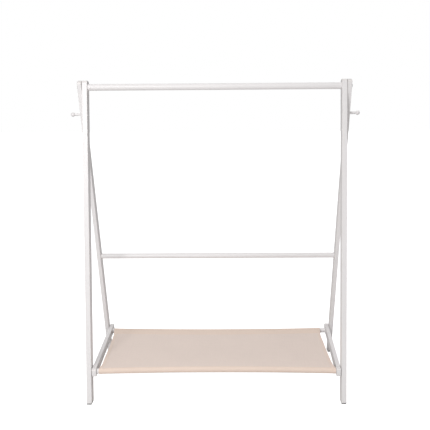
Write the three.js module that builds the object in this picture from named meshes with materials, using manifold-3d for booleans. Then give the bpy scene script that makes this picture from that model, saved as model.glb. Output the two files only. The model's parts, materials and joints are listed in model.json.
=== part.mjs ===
// Folding A-frame clothes rack with a canvas shelf.
// Millimetres, +Z up, the front faces -Y, and the origin is on the floor at the middle of the footprint.
import * as THREE from 'three';
import { mergeVertices } from 'three/addons/utils/BufferGeometryUtils.js';
import Module from 'manifold-3d';

const wasm = await Module();
wasm.setup();

// Driving dimensions of the A-frame
const rackHeight = 1500;          // floor to the top of the legs
const frontLegSpan = 1206;        // centre to centre of the two front legs
const footSpread = 534;           // front foot to rear foot, centre to centre on the floor
const legDepth = 40;              // every leg, across its face from front to back
const frontLegWidth = 24;
const rearLegWidth = 20;
const legHeadRise = 30;           // pivot axis to the end of the leg, along the leg
const legEndRadius = 13;
const legGap = 1.6;               // between a front leg and the rear leg beside it

// Rails
const topRailDiameter = 30;
const lowerRailDiameter = 28;
const lowerRailHeight = 601;

// Shelf
const shelfHeight = 150;          // floor to the middle of the side bars
const barHeight = 40;
const barThickness = 20;
const barEndRadius = 10;
const barOverhang = 22;           // side bar beyond the stud at each end
const barGap = 2.4;               // side bar to the leg that it hangs beside
const rodDiameter = 25;
const frontRodSetback = 2.5;      // front rod behind the front studs
const rearRodSetback = 35;        // rear rod in front of the rear studs
const rodBow = 15;                // how far the taut canvas pulls the middle of a rod inwards
const canvasWidth = 1126;
const canvasThickness = 1.4;

// Studs that carry the shelf
const studDiameter = 10;
const studFlangeDiameter = 16;
const studFlangeThickness = 1.2;
const studShankDiameter = 6;
const studShankLength = 15;
const studTipSetback = 1.5;       // stud end short of the side bar's inner face
const frontNotchDepth = 13;       // roof of the front notch above the bar's underside
const rearNotchDepth = 4.3;
const rampRelief = THREE.MathUtils.degToRad(1.3);

// Pegs for hangers and bags
const pegDrop = 127;              // below the pivot, along the rear leg
const pegReach = 50;              // out from the rear leg
const pegBallDiameter = 20;
const pegStemDiameter = 12;
const pegSpigotDiameter = 8;
const pegSpigotLength = 12;

// Feet
const footHeight = 6;
const footInset = 0.6;
const footSpigotDiameter = 8;
const footSpigotLength = 18;

// Fasteners
const pivotBolt = { diameter: 8, headDiameter: 17, headHeight: 2.6, insertDiameter: 13, insertLength: 24 };
const railBolt = { diameter: 6, headDiameter: 14, headHeight: 2.2, insertDiameter: 10, insertLength: 20 };
const boltWasher = { diameter: 21, thickness: 1.2 };
const legWasherDiameter = 26;
const hexKeySize = 5;             // across the corners of the socket
const hexKeyDepth = 1.6;
const rodScrew = { diameter: 4, headDiameter: 8.4, headHeight: 3, length: 42 };

// Clearances
const touch = 0.3;                // between pieces that bear on each other
const boltClearance = 0.4;        // radial, round a bolt or stud
const tunnelClearance = 0.4;      // radial, rod to canvas
const ease = 1.5;                 // eased edges of the slats
const footEase = 1;

// Worked out from the dimensions above
const lean = Math.atan(footSpread / 2 / (rackHeight - legHeadRise));
const pivotHeight = rackHeight - legHeadRise * Math.cos(lean)
  - (legDepth / 2 - legEndRadius) * Math.sin(lean) - legEndRadius * (1 - Math.cos(lean));
const frontLegX = frontLegSpan / 2;
const frontInnerX = frontLegX - frontLegWidth / 2;
const rearInnerX = frontLegX + frontLegWidth / 2 + legGap;
const rearLegX = rearInnerX + rearLegWidth / 2;
const rearOuterX = rearInnerX + rearLegWidth;
const barUnderside = shelfHeight - barHeight / 2;
const studRadius = studDiameter / 2;
const frontStudHeight = barUnderside + frontNotchDepth - studRadius - touch;
const rearStudHeight = barUnderside + rearNotchDepth - studRadius - touch;
const frontStudY = -(pivotHeight - frontStudHeight) * Math.tan(lean);
const rearStudY = (pivotHeight - rearStudHeight) * Math.tan(lean);
const barSplay = Math.atan((rearInnerX - frontInnerX) / (rearStudY - frontStudY));
const barOuterX = frontInnerX - barGap;
const frontRodY = frontStudY + frontRodSetback;
const rearRodY = rearStudY - rearRodSetback;
const studReach = barGap + barThickness - studTipSetback;

const whiteWood = { color: 0xf1efec, roughness: 0.45, metalness: 0 };
const canvasCloth = { color: 0xdccfc5, roughness: 0.9, metalness: 0 };
const greyPlastic = { color: 0x8f8d8c, roughness: 0.6, metalness: 0 };
const whiteNylon = { color: 0xe6e4e0, roughness: 0.5, metalness: 0 };
const zincSteel = { color: 0xb9bbbd, roughness: 0.35, metalness: 1 };

// Booleans on closed geometries
function toSolid(geometry) {
  const bare = geometry.clone();
  bare.deleteAttribute('normal');
  bare.deleteAttribute('uv');
  const merged = mergeVertices(bare, 1e-4);
  const vertProperties = new Float32Array(merged.attributes.position.array);
  const triVerts = new Uint32Array(merged.index.array);
  return new wasm.Manifold(new wasm.Mesh({ numProp: 3, vertProperties, triVerts }));
}

function toGeometry(solid) {
  const { vertProperties, triVerts } = solid.getMesh();
  const geometry = new THREE.BufferGeometry();
  geometry.setAttribute('position', new THREE.BufferAttribute(new Float32Array(vertProperties), 3));
  geometry.setIndex(new THREE.BufferAttribute(new Uint32Array(triVerts), 1));
  return geometry;
}

function cut(geometry, ...tools) {
  return toGeometry(tools.reduce((solid, tool) => solid.subtract(toSolid(tool)), toSolid(geometry)));
}

function join(geometry, ...others) {
  return toGeometry(others.reduce((solid, other) => solid.add(toSolid(other)), toSolid(geometry)));
}

// A round bar along X from xStart to xEnd, centred on (y, z)
function barAlongX(diameter, xStart, xEnd, y = 0, z = 0, sides = 20) {
  const geometry = new THREE.CylinderGeometry(diameter / 2, diameter / 2, Math.abs(xEnd - xStart), sides);
  return geometry.rotateZ(Math.PI / 2).translate((xStart + xEnd) / 2, y, z);
}

// An outline drawn in Y and Z, extruded to a thickness along X and centred on X = 0
function slatFromOutline(outline, thickness, edge = 0) {
  const options = { depth: thickness - 2 * edge, curveSegments: 6, bevelEnabled: edge > 0 };
  if (edge > 0) {
    Object.assign(options, { bevelThickness: edge, bevelSize: edge, bevelOffset: -edge, bevelSegments: 1 });
  }
  const geometry = new THREE.ExtrudeGeometry(outline, options).translate(0, 0, -thickness / 2 + edge);
  const axes = [new THREE.Vector3(0, 1, 0), new THREE.Vector3(0, 0, 1), new THREE.Vector3(1, 0, 0)];
  return geometry.applyMatrix4(new THREE.Matrix4().makeBasis(...axes));
}

// A turned piece: the profile gives radius against distance outwards along X, to the given side
function turned(profile, side, sides = 20) {
  const points = profile.map(([radius, distance]) => new THREE.Vector2(radius, distance));
  return new THREE.LatheGeometry(points, sides).rotateZ(-side * Math.PI / 2);
}

function addMesh(group, name, geometry, finish, position = [0, 0, 0]) {
  const mesh = new THREE.Mesh(geometry, new THREE.MeshStandardMaterial(finish));
  mesh.name = name;
  mesh.position.set(...position);
  group.add(mesh);
  return mesh;
}

const sides = [['left', -1], ['right', 1]];

// A leg frame's own axes: the pivot is the origin and the legs hang straight down along -Z.
// turn is the frame's lean about X, so a level cut is a sloping line in these axes.
function levelCut(worldHeight, y, turn) {
  return (worldHeight - pivotHeight - y * Math.sin(turn)) / Math.cos(turn);
}

function alongLeg(worldHeight) {
  return -(pivotHeight - worldHeight) / Math.cos(lean);
}

function legOutline(turn) {
  const half = legDepth / 2;
  const bottom = footHeight + touch;
  const outline = new THREE.Shape();
  outline.moveTo(-half, levelCut(bottom, -half, turn));
  outline.lineTo(half, levelCut(bottom, half, turn));
  outline.lineTo(half, legHeadRise - legEndRadius);
  outline.absarc(half - legEndRadius, legHeadRise - legEndRadius, legEndRadius, 0, Math.PI / 2);
  outline.lineTo(-half + legEndRadius, legHeadRise);
  outline.absarc(-half + legEndRadius, legHeadRise - legEndRadius, legEndRadius, Math.PI / 2, Math.PI);
  outline.closePath();
  return outline;
}

// The dowel moulded on a foot, running up into the leg's end
function footSpigot(turn, clearance) {
  const start = levelCut(footHeight, 0, turn);
  const length = footSpigotLength + clearance;
  const radius = footSpigotDiameter / 2 + clearance;
  const overlap = 2;
  const spigot = new THREE.CylinderGeometry(radius, radius, length + overlap, 12).rotateX(Math.PI / 2);
  return spigot.translate(0, 0, start + (length - overlap) / 2);
}

function footGeometry(width, turn) {
  const half = legDepth / 2 - footInset;
  const outline = new THREE.Shape();
  outline.moveTo(-half, levelCut(0, -half, turn));
  outline.lineTo(half, levelCut(0, half, turn));
  outline.lineTo(half, levelCut(footHeight, half, turn));
  outline.lineTo(-half, levelCut(footHeight, -half, turn));
  outline.closePath();
  return join(slatFromOutline(outline, width - 2 * footInset, footEase), footSpigot(turn, 0));
}

function addLegs(group, prefix, x, width, turn, holes) {
  for (const [sideName, side] of sides) {
    const tools = holes.map(({ diameter, from, to, z }) => barAlongX(diameter, side * from, side * to, 0, z, 16));
    const leg = cut(slatFromOutline(legOutline(turn), width, ease), footSpigot(turn, touch), ...tools);
    addMesh(group, `${prefix}_leg_${sideName}`, leg, whiteWood, [side * x, 0, 0]);
    addMesh(group, `${prefix}_foot_${sideName}`, footGeometry(width, turn), greyPlastic, [side * x, 0, 0]);
  }
}

// Threaded insert and round rail, with the insert's seat bored in each end of the rail
function insertGeometry(bolt) {
  const sleeve = barAlongX(bolt.insertDiameter, 0, bolt.insertLength, 0, 0, 16);
  const bore = barAlongX(bolt.diameter + 2 * touch, -1, bolt.insertLength + 1, 0, 0, 16);
  return cut(sleeve, bore);
}

function addRail(group, name, diameter, halfLength, z, bolt) {
  const seatDiameter = bolt.insertDiameter + 2 * touch;
  const seats = sides.map(([, side]) => {
    const inner = side * (halfLength - bolt.insertLength - 2 * touch);
    return barAlongX(seatDiameter, inner, side * (halfLength + 1), 0, 0, 16);
  });
  const rail = cut(barAlongX(diameter, -halfLength, halfLength, 0, 0, 28), ...seats);
  addMesh(group, name, rail, whiteWood, [0, 0, z]);
  for (const [sideName, side] of sides) {
    const inner = halfLength - bolt.insertLength - touch;
    const x = side > 0 ? inner : -inner - bolt.insertLength;
    addMesh(group, `${name}_insert_${sideName}`, insertGeometry(bolt), zincSteel, [x, 0, z]);
  }
}

// Flat-headed joint connector bolt from the head's seat inwards to its tip
function boltGeometry(bolt, side, seatX, tipX) {
  const head = barAlongX(bolt.headDiameter, side * seatX, side * (seatX + bolt.headHeight), 0, 0, 24);
  const shank = barAlongX(bolt.diameter, side * tipX, side * (seatX + 1), 0, 0, 16);
  const faceX = seatX + bolt.headHeight;
  const socket = barAlongX(hexKeySize, side * (faceX - hexKeyDepth), side * (faceX + 1), 0, 0, 6);
  return cut(join(head, shank), socket);
}

function ringGeometry(diameter, boreDiameter, side, fromX, thickness) {
  const disc = barAlongX(diameter, side * fromX, side * (fromX + thickness), 0, 0, 24);
  return cut(disc, barAlongX(boreDiameter, side * (fromX - 1), side * (fromX + thickness + 1), 0, 0, 16));
}

// Stud that carries the shelf: threaded shank in the leg, flange on its face, pin under the side bar
function studGeometry(side) {
  const shank = studShankDiameter / 2;
  const flange = studFlangeDiameter / 2;
  const chamfer = 1;
  return turned([
    [0, -studReach],
    [studRadius - chamfer, -studReach],
    [studRadius, -studReach + chamfer],
    [studRadius, -touch - studFlangeThickness],
    [flange, -touch - studFlangeThickness],
    [flange, -touch],
    [shank, -touch],
    [shank, studShankLength - 1],
    [0, studShankLength - 1],
  ], side, 16);
}

function pegGeometry(side) {
  const stem = pegStemDiameter / 2;
  const ball = pegBallDiameter / 2;
  const ballCentre = pegReach - ball;
  const neck = Math.asin((stem - 1) / ball);
  const steps = 8;
  const profile = [
    [0, -pegSpigotLength],
    [pegSpigotDiameter / 2, -pegSpigotLength],
    [pegSpigotDiameter / 2, touch],
    [stem + 1, touch],
    [stem + 1, 2],
    [stem, 4],
  ];
  for (let step = 0; step < steps; step += 1) {
    const angle = Math.PI - neck - (Math.PI - neck) * step / steps;
    profile.push([ball * Math.sin(angle), ballCentre + ball * Math.cos(angle)]);
  }
  profile.push([0, pegReach]);
  return turned(profile, side);
}

// Front frame: two legs, the top rail and the bolts that the rear frame turns on
const frontFrame = new THREE.Group();
frontFrame.position.z = pivotHeight;
frontFrame.rotation.x = -lean;

const pivotHole = pivotBolt.diameter + 2 * boltClearance;
const studHole = studShankDiameter + 2 * touch;
addLegs(frontFrame, 'front', frontLegX, frontLegWidth, -lean, [
  { diameter: pivotHole, from: -frontLegWidth, to: frontLegWidth, z: 0 },
  {
    diameter: studHole,
    from: -frontLegWidth,
    to: -frontLegWidth / 2 + studShankLength,
    z: alongLeg(frontStudHeight),
  },
]);
addRail(frontFrame, 'top_rail', topRailDiameter, frontInnerX - touch, 0, pivotBolt);
for (const [sideName, side] of sides) {
  const washerX = rearOuterX + touch;
  const headX = washerX + boltWasher.thickness + touch;
  const tipX = frontInnerX - pivotBolt.insertLength + 2;
  const bolt = boltGeometry(pivotBolt, side, headX, tipX);
  const outerRing = ringGeometry(boltWasher.diameter, pivotHole, side, washerX, boltWasher.thickness);
  const innerRing = ringGeometry(legWasherDiameter, pivotHole, side, rearInnerX - legGap + touch, legGap - 2 * touch);
  addMesh(frontFrame, `pivot_bolt_${sideName}`, bolt, zincSteel);
  addMesh(frontFrame, `pivot_bolt_washer_${sideName}`, outerRing, zincSteel);
  addMesh(frontFrame, `pivot_spacer_${sideName}`, innerRing, whiteNylon);
  const studAt = [side * frontInnerX, 0, alongLeg(frontStudHeight)];
  addMesh(frontFrame, `front_stud_${sideName}`, studGeometry(side), zincSteel, studAt);
}

// Rear frame: two legs outside the front ones, the lower rail and the pegs
const rearFrame = new THREE.Group();
rearFrame.position.z = pivotHeight;
rearFrame.rotation.x = lean;

const lowerRailZ = alongLeg(lowerRailHeight);
addLegs(rearFrame, 'rear', rearLegX, rearLegWidth, lean, [
  { diameter: pivotHole, from: -rearLegWidth, to: rearLegWidth, z: 0 },
  { diameter: railBolt.diameter + 2 * boltClearance, from: -rearLegWidth, to: rearLegWidth, z: lowerRailZ },
  {
    diameter: studHole,
    from: -rearLegWidth,
    to: -rearLegWidth / 2 + studShankLength,
    z: alongLeg(rearStudHeight),
  },
  {
    diameter: pegSpigotDiameter + 2 * touch,
    from: rearLegWidth / 2 - pegSpigotLength - touch,
    to: rearLegWidth,
    z: -pegDrop,
  },
]);
addRail(rearFrame, 'lower_rail', lowerRailDiameter, rearInnerX - touch, lowerRailZ, railBolt);
for (const [sideName, side] of sides) {
  const tipX = rearInnerX - railBolt.insertLength + 2;
  const bolt = boltGeometry(railBolt, side, rearOuterX + touch, tipX);
  addMesh(rearFrame, `lower_rail_bolt_${sideName}`, bolt, zincSteel, [0, 0, lowerRailZ]);
  addMesh(rearFrame, `peg_${sideName}`, pegGeometry(side), whiteWood, [side * rearOuterX, 0, -pegDrop]);
  const studAt = [side * rearInnerX, 0, alongLeg(rearStudHeight)];
  addMesh(rearFrame, `rear_stud_${sideName}`, studGeometry(side), zincSteel, studAt);
}

// Shelf: its origin is level with the middle of the side bars
const shelf = new THREE.Group();
shelf.position.z = shelfHeight;

// Places a geometry, drawn about the bar's outer face at the front stud, on its splayed line
function splayed(geometry, side) {
  return geometry.rotateZ(-side * barSplay).translate(side * barOuterX, frontStudY, 0);
}

function barOutline() {
  const front = -barOverhang;
  const back = (rearStudY - frontStudY) / Math.cos(barSplay) + barOverhang;
  const half = barHeight / 2;
  const inset = barEndRadius;
  const outline = new THREE.Shape();
  outline.moveTo(front + inset, -half);
  outline.lineTo(back - inset, -half);
  outline.absarc(back - inset, -half + inset, inset, -Math.PI / 2, 0);
  outline.lineTo(back, half - inset);
  outline.absarc(back - inset, half - inset, inset, 0, Math.PI / 2);
  outline.lineTo(front + inset, half);
  outline.absarc(front + inset, half - inset, inset, Math.PI / 2, Math.PI);
  outline.lineTo(front, -half + inset);
  outline.absarc(front + inset, -half + inset, inset, Math.PI, Math.PI * 1.5);
  return outline;
}

// The notches are cut right through the bar, so their tools are wider than it is thick
const notchWidth = 4 * barThickness;

// Slot that drops over the front stud
function frontNotch() {
  const half = studRadius + touch;
  const below = -barHeight / 2 - 2;
  const roofCentre = frontStudHeight - shelfHeight;
  const outline = new THREE.Shape();
  outline.moveTo(-half, below);
  outline.lineTo(half, below);
  outline.lineTo(half, roofCentre);
  outline.absarc(0, roofCentre, half, 0, Math.PI);
  outline.closePath();
  return slatFromOutline(outline, notchWidth).translate(0, frontStudY, 0);
}

// Shallow notch over the rear stud: a wall behind it, and a ramp in front that lets it leave forwards
function rearNotch() {
  const wall = studRadius + touch;
  const below = -barHeight / 2 - 2;
  const roof = -barHeight / 2 + rearNotchDepth;
  const rampTop = -2;
  const rampRun = (roof - below) / Math.tan(lean - rampRelief);
  const outline = new THREE.Shape();
  outline.moveTo(rampTop - rampRun, below);
  outline.lineTo(wall, below);
  outline.lineTo(wall, roof);
  outline.lineTo(rampTop, roof);
  outline.closePath();
  return slatFromOutline(outline, notchWidth).translate(0, rearStudY, 0);
}

// Countersunk screw through the side bar into a rod's end; its head is sunk below the bar's outer face
function screwProfile(clearance) {
  const radius = rodScrew.diameter / 2 + clearance;
  const head = rodScrew.headDiameter / 2 + clearance;
  return { radius, head };
}

function screwGeometry(side) {
  const { radius, head } = screwProfile(0);
  return turned([
    [0, -rodScrew.length],
    [radius, -rodScrew.length + 3],
    [radius, -rodScrew.headHeight],
    [head, 0],
    [0, 0],
  ], side, 12);
}

function screwHole(side) {
  const { radius, head } = screwProfile(touch);
  return turned([
    [0, -rodScrew.length - touch],
    [radius, -rodScrew.length - touch],
    [radius, -rodScrew.headHeight - touch],
    [head, 0],
    [head, 4],
    [0, 4],
  ], side, 12);
}

const screwHeadSink = 1;

function screwPlace(side, y) {
  const faceX = barOuterX + (y - frontStudY) * Math.tan(barSplay);
  return [side * (faceX - screwHeadSink), y, 0];
}

for (const [sideName, side] of sides) {
  const blank = slatFromOutline(barOutline(), barThickness, ease).translate(-side * barThickness / 2, 0, 0);
  const notches = [
    frontNotch().translate(side * frontInnerX, 0, 0),
    rearNotch().translate(side * rearInnerX, 0, 0),
  ];
  const holes = [frontRodY, rearRodY].map((y) => screwHole(side).translate(...screwPlace(side, y)));
  addMesh(shelf, `side_bar_${sideName}`, cut(splayed(blank, side), ...notches, ...holes), whiteWood);
  addMesh(shelf, `front_rod_screw_${sideName}`, screwGeometry(side), zincSteel, screwPlace(side, frontRodY));
  addMesh(shelf, `rear_rod_screw_${sideName}`, screwGeometry(side), zincSteel, screwPlace(side, rearRodY));
}

// Line of a rod that the taut canvas pulls inwards at its middle
class BowedLine extends THREE.Curve {
  constructor(endY, bow, halfSpan, reach) {
    super();
    Object.assign(this, { endY, bow, halfSpan, reach });
  }

  getPoint(t, target = new THREE.Vector3()) {
    const x = this.reach * (2 * t - 1);
    return target.set(x, this.endY + this.bow * (1 - (x / this.halfSpan) ** 2), 0);
  }
}

function alongLine(diameter, line) {
  const section = new THREE.Shape();
  section.absarc(0, 0, diameter / 2, 0, Math.PI * 2);
  const options = { steps: 12, curveSegments: 8, extrudePath: line, bevelEnabled: false };
  return new THREE.ExtrudeGeometry(section, options);
}

function innerFaceX(y) {
  return barOuterX + (y - frontStudY) * Math.tan(barSplay) - barThickness / Math.cos(barSplay);
}

// Block that trims a rod off just short of the side bar's inner face
function trimBlock(side) {
  const depth = 60;
  const block = new THREE.BoxGeometry(depth, 2 * footSpread, 2 * barHeight);
  return splayed(block.translate(-side * (barThickness + touch - depth / 2), 0, 0), side);
}

const rodLines = [
  { name: 'front', y: frontRodY, bow: rodBow },
  { name: 'rear', y: rearRodY, bow: -rodBow },
];
for (const { name, y, bow } of rodLines) {
  const halfSpan = innerFaceX(y);
  const line = new BowedLine(y, bow, halfSpan, halfSpan + 5);
  const pilots = sides.map(([, side]) => screwHole(side).translate(...screwPlace(side, y)));
  const trims = sides.map(([, side]) => trimBlock(side));
  addMesh(shelf, `shelf_rod_${name}`, cut(alongLine(rodDiameter, line), ...trims, ...pilots), whiteWood);
}

// Canvas: a tunnel round each rod and a taut sheet from the top of one tunnel to the top of the other
function canvasGeometry() {
  const half = canvasWidth / 2;
  const boreDiameter = rodDiameter + 2 * tunnelClearance;
  const outerDiameter = boreDiameter + 2 * canvasThickness;
  const outers = [];
  const bores = [];
  for (const { y, bow } of rodLines) {
    const halfSpan = innerFaceX(y);
    outers.push(alongLine(outerDiameter, new BowedLine(y, bow, halfSpan, half)));
    bores.push(alongLine(boreDiameter, new BowedLine(y, bow, halfSpan, half + 1)));
  }
  const sheet = new THREE.Shape();
  const points = rodLines.map(({ y, bow }) => new BowedLine(y, bow, innerFaceX(y), half).getPoints(12));
  const [frontEdge, rearEdge] = points;
  sheet.setFromPoints([...frontEdge, ...rearEdge.reverse()].map((point) => new THREE.Vector2(point.x, point.y)));
  const plate = new THREE.ExtrudeGeometry(sheet, { depth: canvasThickness, bevelEnabled: false });
  plate.translate(0, 0, boreDiameter / 2);
  return cut(join(plate, ...outers), ...bores);
}

addMesh(shelf, 'shelf_canvas', canvasGeometry(), canvasCloth);

const rack = new THREE.Group();
rack.name = 'clothes_rack';
rack.add(frontFrame, rearFrame, shelf);

export default rack;
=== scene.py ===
# Folding A-frame clothes rack with a canvas shelf: its looks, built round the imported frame
import json
import math
import random

import bmesh
import bpy
from mathutils import Matrix, Vector


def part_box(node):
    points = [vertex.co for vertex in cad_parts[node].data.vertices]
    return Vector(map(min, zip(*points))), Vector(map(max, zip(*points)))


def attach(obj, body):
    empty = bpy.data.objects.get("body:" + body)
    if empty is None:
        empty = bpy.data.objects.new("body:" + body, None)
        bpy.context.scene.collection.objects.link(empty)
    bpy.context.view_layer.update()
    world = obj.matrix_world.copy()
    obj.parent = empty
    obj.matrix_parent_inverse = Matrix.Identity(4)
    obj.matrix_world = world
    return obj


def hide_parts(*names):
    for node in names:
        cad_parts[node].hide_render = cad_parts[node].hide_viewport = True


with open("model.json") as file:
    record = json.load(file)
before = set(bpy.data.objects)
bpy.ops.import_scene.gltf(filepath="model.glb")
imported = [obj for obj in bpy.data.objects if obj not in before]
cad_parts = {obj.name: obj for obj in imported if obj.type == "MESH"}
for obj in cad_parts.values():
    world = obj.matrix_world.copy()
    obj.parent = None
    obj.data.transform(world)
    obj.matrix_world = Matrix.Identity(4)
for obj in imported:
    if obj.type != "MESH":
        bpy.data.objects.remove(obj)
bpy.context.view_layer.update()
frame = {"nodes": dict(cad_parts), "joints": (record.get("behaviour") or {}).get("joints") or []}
print("frame loaded,", len(frame["nodes"]), "nodes")

mm = 0.001
handed = {"left": -1, "right": 1}

# Where things are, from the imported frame


def middleOf(node):
    low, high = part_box(node)
    return (low + high) / 2


foldJoint = next(j for j in frame["joints"] if j["name"] == "rear_frame_fold")
pivot = Vector(foldJoint["pos_m"])
frontStud = middleOf("front_stud_right")
rearStud = middleOf("rear_stud_right")
lean = math.atan2(-frontStud.y, pivot.z - frontStud.z)   # each leg frame off the vertical
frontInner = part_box("front_leg_right")[0].x
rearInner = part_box("rear_leg_right")[0].x
splay = math.atan2(rearInner - frontInner, rearStud.y - frontStud.y)   # side bars seen from above
barMiddle = middleOf("side_bar_right").z
frontTurn = Matrix.Translation(pivot) @ Matrix.Rotation(-lean, 4, "X")
rearTurn = Matrix.Translation(pivot) @ Matrix.Rotation(lean, 4, "X")

# Making meshes


def linked(name, mesh):
    piece = bpy.data.objects.new(name, mesh)
    bpy.context.scene.collection.objects.link(piece)
    return piece


def fromShape(name, shape, place=Matrix.Identity(4)):
    bmesh.ops.remove_doubles(shape, verts=shape.verts, dist=1e-7)
    shape.transform(place)
    bmesh.ops.recalc_face_normals(shape, faces=shape.faces)
    mesh = bpy.data.meshes.new(name)
    shape.to_mesh(mesh)
    shape.free()
    return linked(name, mesh)


def prism(name, outline, xFrom, xTo, place=Matrix.Identity(4)):   # a (y, z) outline carried along X
    shape = bmesh.new()
    rims = [[shape.verts.new((x, y, z)) for y, z in outline] for x in (xFrom, xTo)]
    for rim in rims:
        shape.faces.new(rim)
    for i in range(len(outline)):
        j = (i + 1) % len(outline)
        shape.faces.new((rims[0][i], rims[0][j], rims[1][j], rims[1][i]))
    return fromShape(name, shape, place)


def turned(name, profile, sides=48, place=Matrix.Identity(4), ring=False):   # (x, radius) turned round X
    shape = bmesh.new()
    rows = []
    for x, radius in profile:
        if radius < 1e-6:
            rows.append([shape.verts.new((x, 0, 0))])
            continue
        angles = [2 * math.pi * i / sides for i in range(sides)]
        rows.append([shape.verts.new((x, radius * math.cos(a), radius * math.sin(a))) for a in angles])
    if ring:
        rows.append(rows[0])
    for near, far in zip(rows, rows[1:]):
        for i in range(sides):
            j = (i + 1) % sides
            if len(near) == 1:
                shape.faces.new((near[0], far[i], far[j]))
            elif len(far) == 1:
                shape.faces.new((near[i], far[0], near[j]))
            else:
                shape.faces.new((near[i], far[i], far[j], near[j]))
    return fromShape(name, shape, place)


def arc(centreA, centreB, radius, fromDegrees, toDegrees, steps):
    angles = [math.radians(fromDegrees + (toDegrees - fromDegrees) * i / steps) for i in range(steps + 1)]
    return [(centreA + radius * math.cos(a), centreB + radius * math.sin(a)) for a in angles]


def baked(piece):   # modifiers become plain mesh
    bpy.context.view_layer.update()
    depsgraph = bpy.context.evaluated_depsgraph_get()
    mesh = bpy.data.meshes.new_from_object(piece.evaluated_get(depsgraph), depsgraph=depsgraph)
    piece.modifiers.clear()
    piece.data = mesh
    return piece


def easeEdges(piece, width, segments=3):
    bevel = piece.modifiers.new("eased edges", "BEVEL")
    bevel.width = width
    bevel.segments = segments
    bevel.limit_method = "ANGLE"
    bevel.angle_limit = math.radians(40)
    return piece


def combine(piece, tools, how):
    for tool in tools:
        step = piece.modifiers.new(tool.name, "BOOLEAN")
        step.operation = how
        step.solver = "EXACT"
        step.object = tool
    baked(piece)
    for tool in tools:
        bpy.data.objects.remove(tool)
    return piece


def drilled(piece, tools):
    return combine(piece, tools, "DIFFERENCE")


def smoothed(piece, sharpest=32):
    piece.data.shade_smooth()
    piece.data.set_sharp_from_angle(angle=math.radians(sharpest))
    weigh = piece.modifiers.new("weighted normals", "WEIGHTED_NORMAL")
    weigh.keep_sharp = True
    return baked(piece)


def markEdges(piece, place):   # a mask that is 1 on the rounded edges, where paint wears thin
    axes = place.to_3x3().transposed()
    mask = piece.data.attributes.new("edgeMask", "FLOAT", "CORNER")
    for face in piece.data.polygons:
        local = axes @ face.normal
        flat = max(abs(local.x), abs(local.y), abs(local.z)) > 0.99
        for corner in face.loop_indices:
            mask.data[corner].value = 0.0 if flat else 1.0
    return piece


def finished(piece, material, body, slot, *nodes):
    piece.data.materials.clear()
    piece.data.materials.append(material)
    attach(piece, body)
    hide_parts(*nodes)
    return piece


# Effects that several finishes share


def wire(tree, made, wires):   # each input gets a value, a socket, or a list of sockets
    for label, value in wires.items():
        for one in value if isinstance(value, list) else [value]:
            if isinstance(one, bpy.types.NodeSocket):
                tree.links.new(one, made.inputs[label])
            else:
                made.inputs[label].default_value = one
    return made


def newNode(tree, kind, wires=None, **settings):
    made = tree.nodes.new(kind)
    for key, value in settings.items():
        setattr(made, key, value)
    return wire(tree, made, wires or {})


def shaderGroup(name, inputs, outputs):
    group = bpy.data.node_groups.new(name, "ShaderNodeTree")
    for label, kind, value in inputs:
        socket = group.interface.new_socket(label, in_out="INPUT", socket_type=f"NodeSocket{kind}")
        if value is not None:
            socket.default_value = value
    for label in outputs:
        group.interface.new_socket(label, in_out="OUTPUT", socket_type="NodeSocketFloat")
    return group, group.nodes.new("NodeGroupInput").outputs, group.nodes.new("NodeGroupOutput")


def maths(tree, how, first, second=0.5, clamp=False):
    return newNode(tree, "ShaderNodeMath", {0: first, 1: second}, operation=how, use_clamp=clamp).outputs[0]


def times(tree, first, second, clamp=False):
    return maths(tree, "MULTIPLY", first, second, clamp)


def plus(tree, first, second):
    return maths(tree, "ADD", first, second)


def stretched(tree, vector, scale):
    return newNode(tree, "ShaderNodeVectorMath", {0: vector, 1: scale}, operation="MULTIPLY").outputs[0]


def noise(tree, vector, scale, detail=2.0, roughness=0.5, distortion=0.0):
    return newNode(tree, "ShaderNodeTexNoise", {
        "Vector": vector, "Scale": scale, "Detail": detail, "Roughness": roughness, "Distortion": distortion,
    }).outputs[0]


def spread(tree, value, fromLow, fromHigh, toLow, toHigh):
    wires = {"Value": value, "From Min": fromLow, "From Max": fromHigh, "To Min": toLow, "To Max": toHigh}
    return newNode(tree, "ShaderNodeMapRange", wires).outputs[0]


def blended(tree, amount, first, second, how="MIX"):   # 6 and 7 are the node's two colours, 2 their mix
    mix = newNode(tree, "ShaderNodeMix", data_type="RGBA", blend_type=how)
    return wire(tree, mix, {0: amount, 6: first, 7: second}).outputs[2]


# Grain under white lacquer, running along the vector's Z
def buildLacquerGrain():
    tree, given, out = shaderGroup("lacquerGrain", [
        ("Vector", "Vector", None), ("Grain", "Float", 1.0), ("Edge", "Float", 0.0),
    ], ["Tone", "Thin", "Gloss", "Height"])
    vector = given["Vector"]
    figure = noise(tree, stretched(tree, vector, (1, 1, 0.045)), 95, 3.0, 0.55, 0.6)
    pores = noise(tree, stretched(tree, vector, (1, 1, 0.025)), 620, 2.0, 0.6)
    boards = noise(tree, vector, 2.6, 2.0, 0.5)
    brushed = noise(tree, stretched(tree, vector, (1, 1, 0.12)), 260, 1.0, 0.5)
    deepPores = times(tree, spread(tree, pores, 0.56, 0.74, 0.0, 1.0), given["Grain"])
    tone = times(tree, spread(tree, figure, 0.3, 0.7, -0.012, 0.012), given["Grain"])
    tone = plus(tree, tone, spread(tree, boards, 0.3, 0.7, 0.985, 1.005))
    tone = maths(tree, "SUBTRACT", tone, times(tree, deepPores, 0.02))
    chips = spread(tree, noise(tree, vector, 140, 3.0, 0.6), 0.5, 0.72, 0.25, 1.0)
    height = plus(tree, times(tree, figure, 0.5), times(tree, brushed, 0.3))
    height = maths(tree, "SUBTRACT", height, times(tree, deepPores, 0.4))
    wire(tree, out, {"Tone": tone, "Thin": times(tree, given["Edge"], chips, True),
                     "Gloss": spread(tree, brushed, 0.3, 0.7, 0.36, 0.5), "Height": height})
    return tree


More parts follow.
